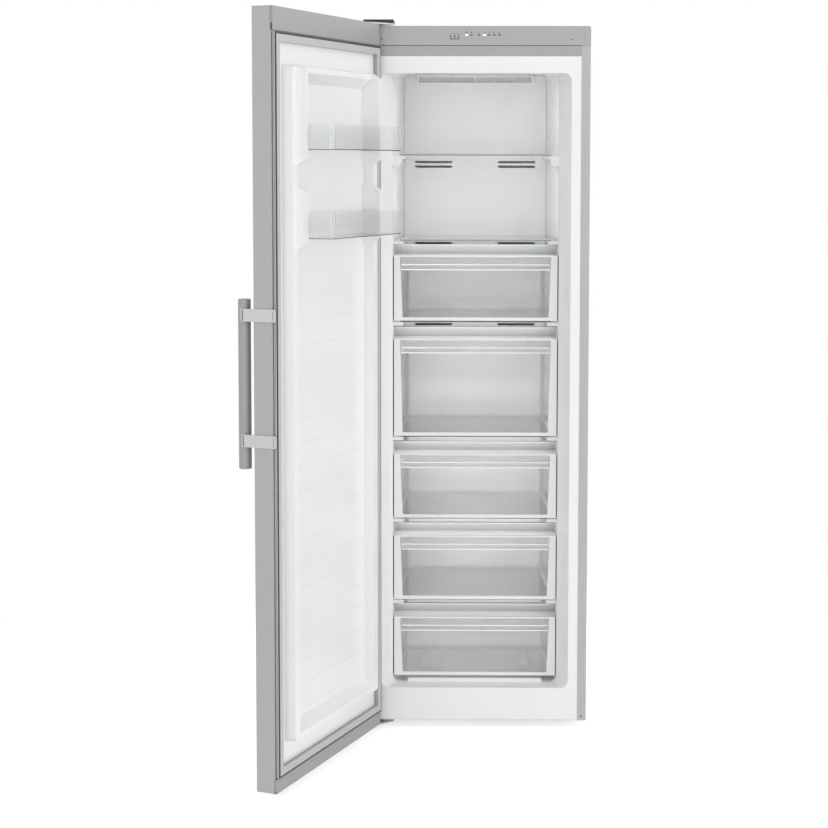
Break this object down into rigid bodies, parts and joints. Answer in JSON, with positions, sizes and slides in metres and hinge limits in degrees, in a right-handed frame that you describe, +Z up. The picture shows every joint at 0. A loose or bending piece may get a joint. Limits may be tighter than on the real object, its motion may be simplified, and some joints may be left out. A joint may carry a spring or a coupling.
{
  "type": "upright freezer",
  "caption": "Upright no-frost freezer with its door open: glass shelves, clear pull-out drawers, lift-out door bins, a bar handle and a working cooling circuit.",
  "frame": {"origin": "on the floor, below the middle of the cabinet's front face", "axes": "+X to the right along the front, +Y from the front to the back, +Z up"},
  "size_m": [0.8549, 1.1855, 1.8762],
  "materials": {
    "grey_enamel": "smooth grey enamel on steel sheet",
    "zinc_steel": "zinc-coated steel sheet",
    "white_liner": "white vacuum-formed polystyrene",
    "white_plastic": "white injection-moulded polystyrene",
    "grey_plastic": "silver-grey moulded ABS",
    "rigid_foam": "rigid polyurethane foam",
    "seal_pvc": "soft grey PVC",
    "clear_plastic": "clear injection-moulded polystyrene",
    "frosted_plastic": "frosted translucent polystyrene",
    "shelf_glass": "toughened safety glass",
    "hinge_steel": "powder-coated pressed steel",
    "screw_steel": "zinc-plated steel",
    "dark_plastic": "dark grey moulded plastic",
    "handle_metal": "satin aluminium",
    "bracket_metal": "satin silver lacquer on steel",
    "copper": "drawn copper tube",
    "aluminium_fins": "mill-finish aluminium",
    "black_enamel": "black baked enamel",
    "circuit_board": "epoxy-glass board with parts",
    "light_guide": "clear light guide",
    "mount_rubber": "black rubber",
    "drain_plastic": "grey polypropylene"
  },
  "bodies": {
    "cabinet": {"side_panel_left": "grey_enamel", "side_panel_right": "grey_enamel", "top_front_rail": "grey_enamel", "top_cover": "grey_plastic", "rear_panel": "zinc_steel", "base_tray": "zinc_steel", "inner_liner": "white_liner", "insulation_foam": "rigid_foam", "control_fascia": "grey_plastic", "indicator_lights": "light_guide", "control_board": "circuit_board", "top_hinge_bracket": "hinge_steel", "top_hinge_cover": "dark_plastic", "bottom_hinge_bracket": "hinge_steel", "cabinet_screws": "screw_steel", "air_duct_cover": "white_plastic", "return_air_grille": "grey_plastic", "evaporator": "aluminium_fins", "defrost_heater": "zinc_steel", "fan_motor": "dark_plastic", "drain_parts": "drain_plastic", "compressor_mounts": "mount_rubber", "compressor": "black_enamel", "refrigerant_pipes": "copper", "condenser": "copper", "mains_inlet": "dark_plastic"},
    "door": {"door_skin": "grey_enamel", "door_end_caps": "grey_plastic", "door_liner": "white_liner", "door_foam": "rigid_foam", "door_gasket": "seal_pvc", "hinge_bushes": "dark_plastic", "handle_bar": "handle_metal", "handle_brackets": "bracket_metal"},
    "power_button": {"power_button": "grey_plastic"},
    "front_foot_left": {"front_foot_left": "dark_plastic"},
    "front_foot_right": {"front_foot_right": "dark_plastic"},
    "rear_roller_left": {"rear_roller_left": "dark_plastic"},
    "rear_roller_right": {"rear_roller_right": "dark_plastic"},
    "fan_wheel": {"fan_wheel": "dark_plastic"},
    "shelf_1": {"shelf_1_glass": "shelf_glass", "shelf_1_trim": "white_plastic"},
    "shelf_2": {"shelf_2_glass": "shelf_glass", "shelf_2_trim": "white_plastic"},
    "divider_shelf_1": {"divider_shelf_1": "shelf_glass"},
    "divider_shelf_2": {"divider_shelf_2": "shelf_glass"},
    "divider_shelf_3": {"divider_shelf_3": "shelf_glass"},
    "divider_shelf_4": {"divider_shelf_4": "shelf_glass"},
    "drawer_1": {"drawer_1_tub": "clear_plastic", "drawer_1_frame": "frosted_plastic"},
    "drawer_2": {"drawer_2_tub": "clear_plastic", "drawer_2_frame": "frosted_plastic"},
    "drawer_3": {"drawer_3_tub": "clear_plastic", "drawer_3_frame": "frosted_plastic"},
    "drawer_4": {"drawer_4_tub": "clear_plastic", "drawer_4_frame": "frosted_plastic"},
    "drawer_5": {"drawer_5_tub": "clear_plastic", "drawer_5_frame": "frosted_plastic"},
    "door_bin_1": {"door_bin_1": "clear_plastic"},
    "door_bin_2": {"door_bin_2": "clear_plastic"}
  },
  "joints": [
    {"name": "door_hinge", "type": "hinge", "parent": "cabinet", "child": "door", "pos_m": [-0.2837, -0.0375, 0.94], "axis": [0, 0, -1], "range_deg": [-111.6, 8]},
    {"name": "power_button_press", "type": "slide", "parent": "cabinet", "child": "power_button", "axis": [0, 1, 0], "range_m": [0, 0.0015], "stiffness_N_per_m": 400},
    {"name": "front_foot_left_turn", "type": "hinge", "parent": "cabinet", "child": "front_foot_left", "pos_m": [-0.24, 0.095, 0.02], "axis": [0, 0, 1], "continuous": true},
    {"name": "front_foot_right_turn", "type": "hinge", "parent": "cabinet", "child": "front_foot_right", "pos_m": [0.24, 0.095, 0.02], "axis": [0, 0, 1], "continuous": true},
    {"name": "rear_roller_left_roll", "type": "hinge", "parent": "cabinet", "child": "rear_roller_left", "pos_m": [-0.235, 0.535, 0.0165], "axis": [1, 0, 0], "continuous": true},
    {"name": "rear_roller_right_roll", "type": "hinge", "parent": "cabinet", "child": "rear_roller_right", "pos_m": [0.235, 0.535, 0.0165], "axis": [1, 0, 0], "continuous": true},
    {"name": "fan_spin", "type": "hinge", "parent": "cabinet", "child": "fan_wheel", "pos_m": [0, 0.468, 0.7], "axis": [0, 1, 0], "continuous": true},
    {"name": "shelf_1_slide", "type": "slide", "parent": "cabinet", "child": "shelf_1", "axis": [0, -1, 0], "range_m": [0, 0.36]},
    {"name": "shelf_2_slide", "type": "slide", "parent": "cabinet", "child": "shelf_2", "axis": [0, -1, 0], "range_m": [0, 0.36]},
    {"name": "divider_shelf_1_slide", "type": "slide", "parent": "cabinet", "child": "divider_shelf_1", "axis": [0, -1, 0], "range_m": [0, 0.35]},
    {"name": "divider_shelf_2_slide", "type": "slide", "parent": "cabinet", "child": "divider_shelf_2", "axis": [0, -1, 0], "range_m": [0, 0.35]},
    {"name": "divider_shelf_3_slide", "type": "slide", "parent": "cabinet", "child": "divider_shelf_3", "axis": [0, -1, 0], "range_m": [0, 0.35]},
    {"name": "divider_shelf_4_slide", "type": "slide", "parent": "cabinet", "child": "divider_shelf_4", "axis": [0, -1, 0], "range_m": [0, 0.35]},
    {"name": "drawer_1_slide", "type": "slide", "parent": "cabinet", "child": "drawer_1", "axis": [0, -1, 0], "range_m": [0, 0.33]},
    {"name": "drawer_2_slide", "type": "slide", "parent": "cabinet", "child": "drawer_2", "axis": [0, -1, 0], "range_m": [0, 0.33]},
    {"name": "drawer_3_slide", "type": "slide", "parent": "cabinet", "child": "drawer_3", "axis": [0, -1, 0], "range_m": [0, 0.33]},
    {"name": "drawer_4_slide", "type": "slide", "parent": "cabinet", "child": "drawer_4", "axis": [0, -1, 0], "range_m": [0, 0.33]},
    {"name": "drawer_5_slide", "type": "slide", "parent": "cabinet", "child": "drawer_5", "axis": [0, -1, 0], "range_m": [0, 0.24]},
    {"name": "door_bin_1_lift", "type": "slide", "parent": "door", "child": "door_bin_1", "axis": [0, 0, 1], "range_m": [0, 0.045]},
    {"name": "door_bin_2_lift", "type": "slide", "parent": "door", "child": "door_bin_2", "axis": [0, 0, 1], "range_m": [0, 0.045]}
  ]
}
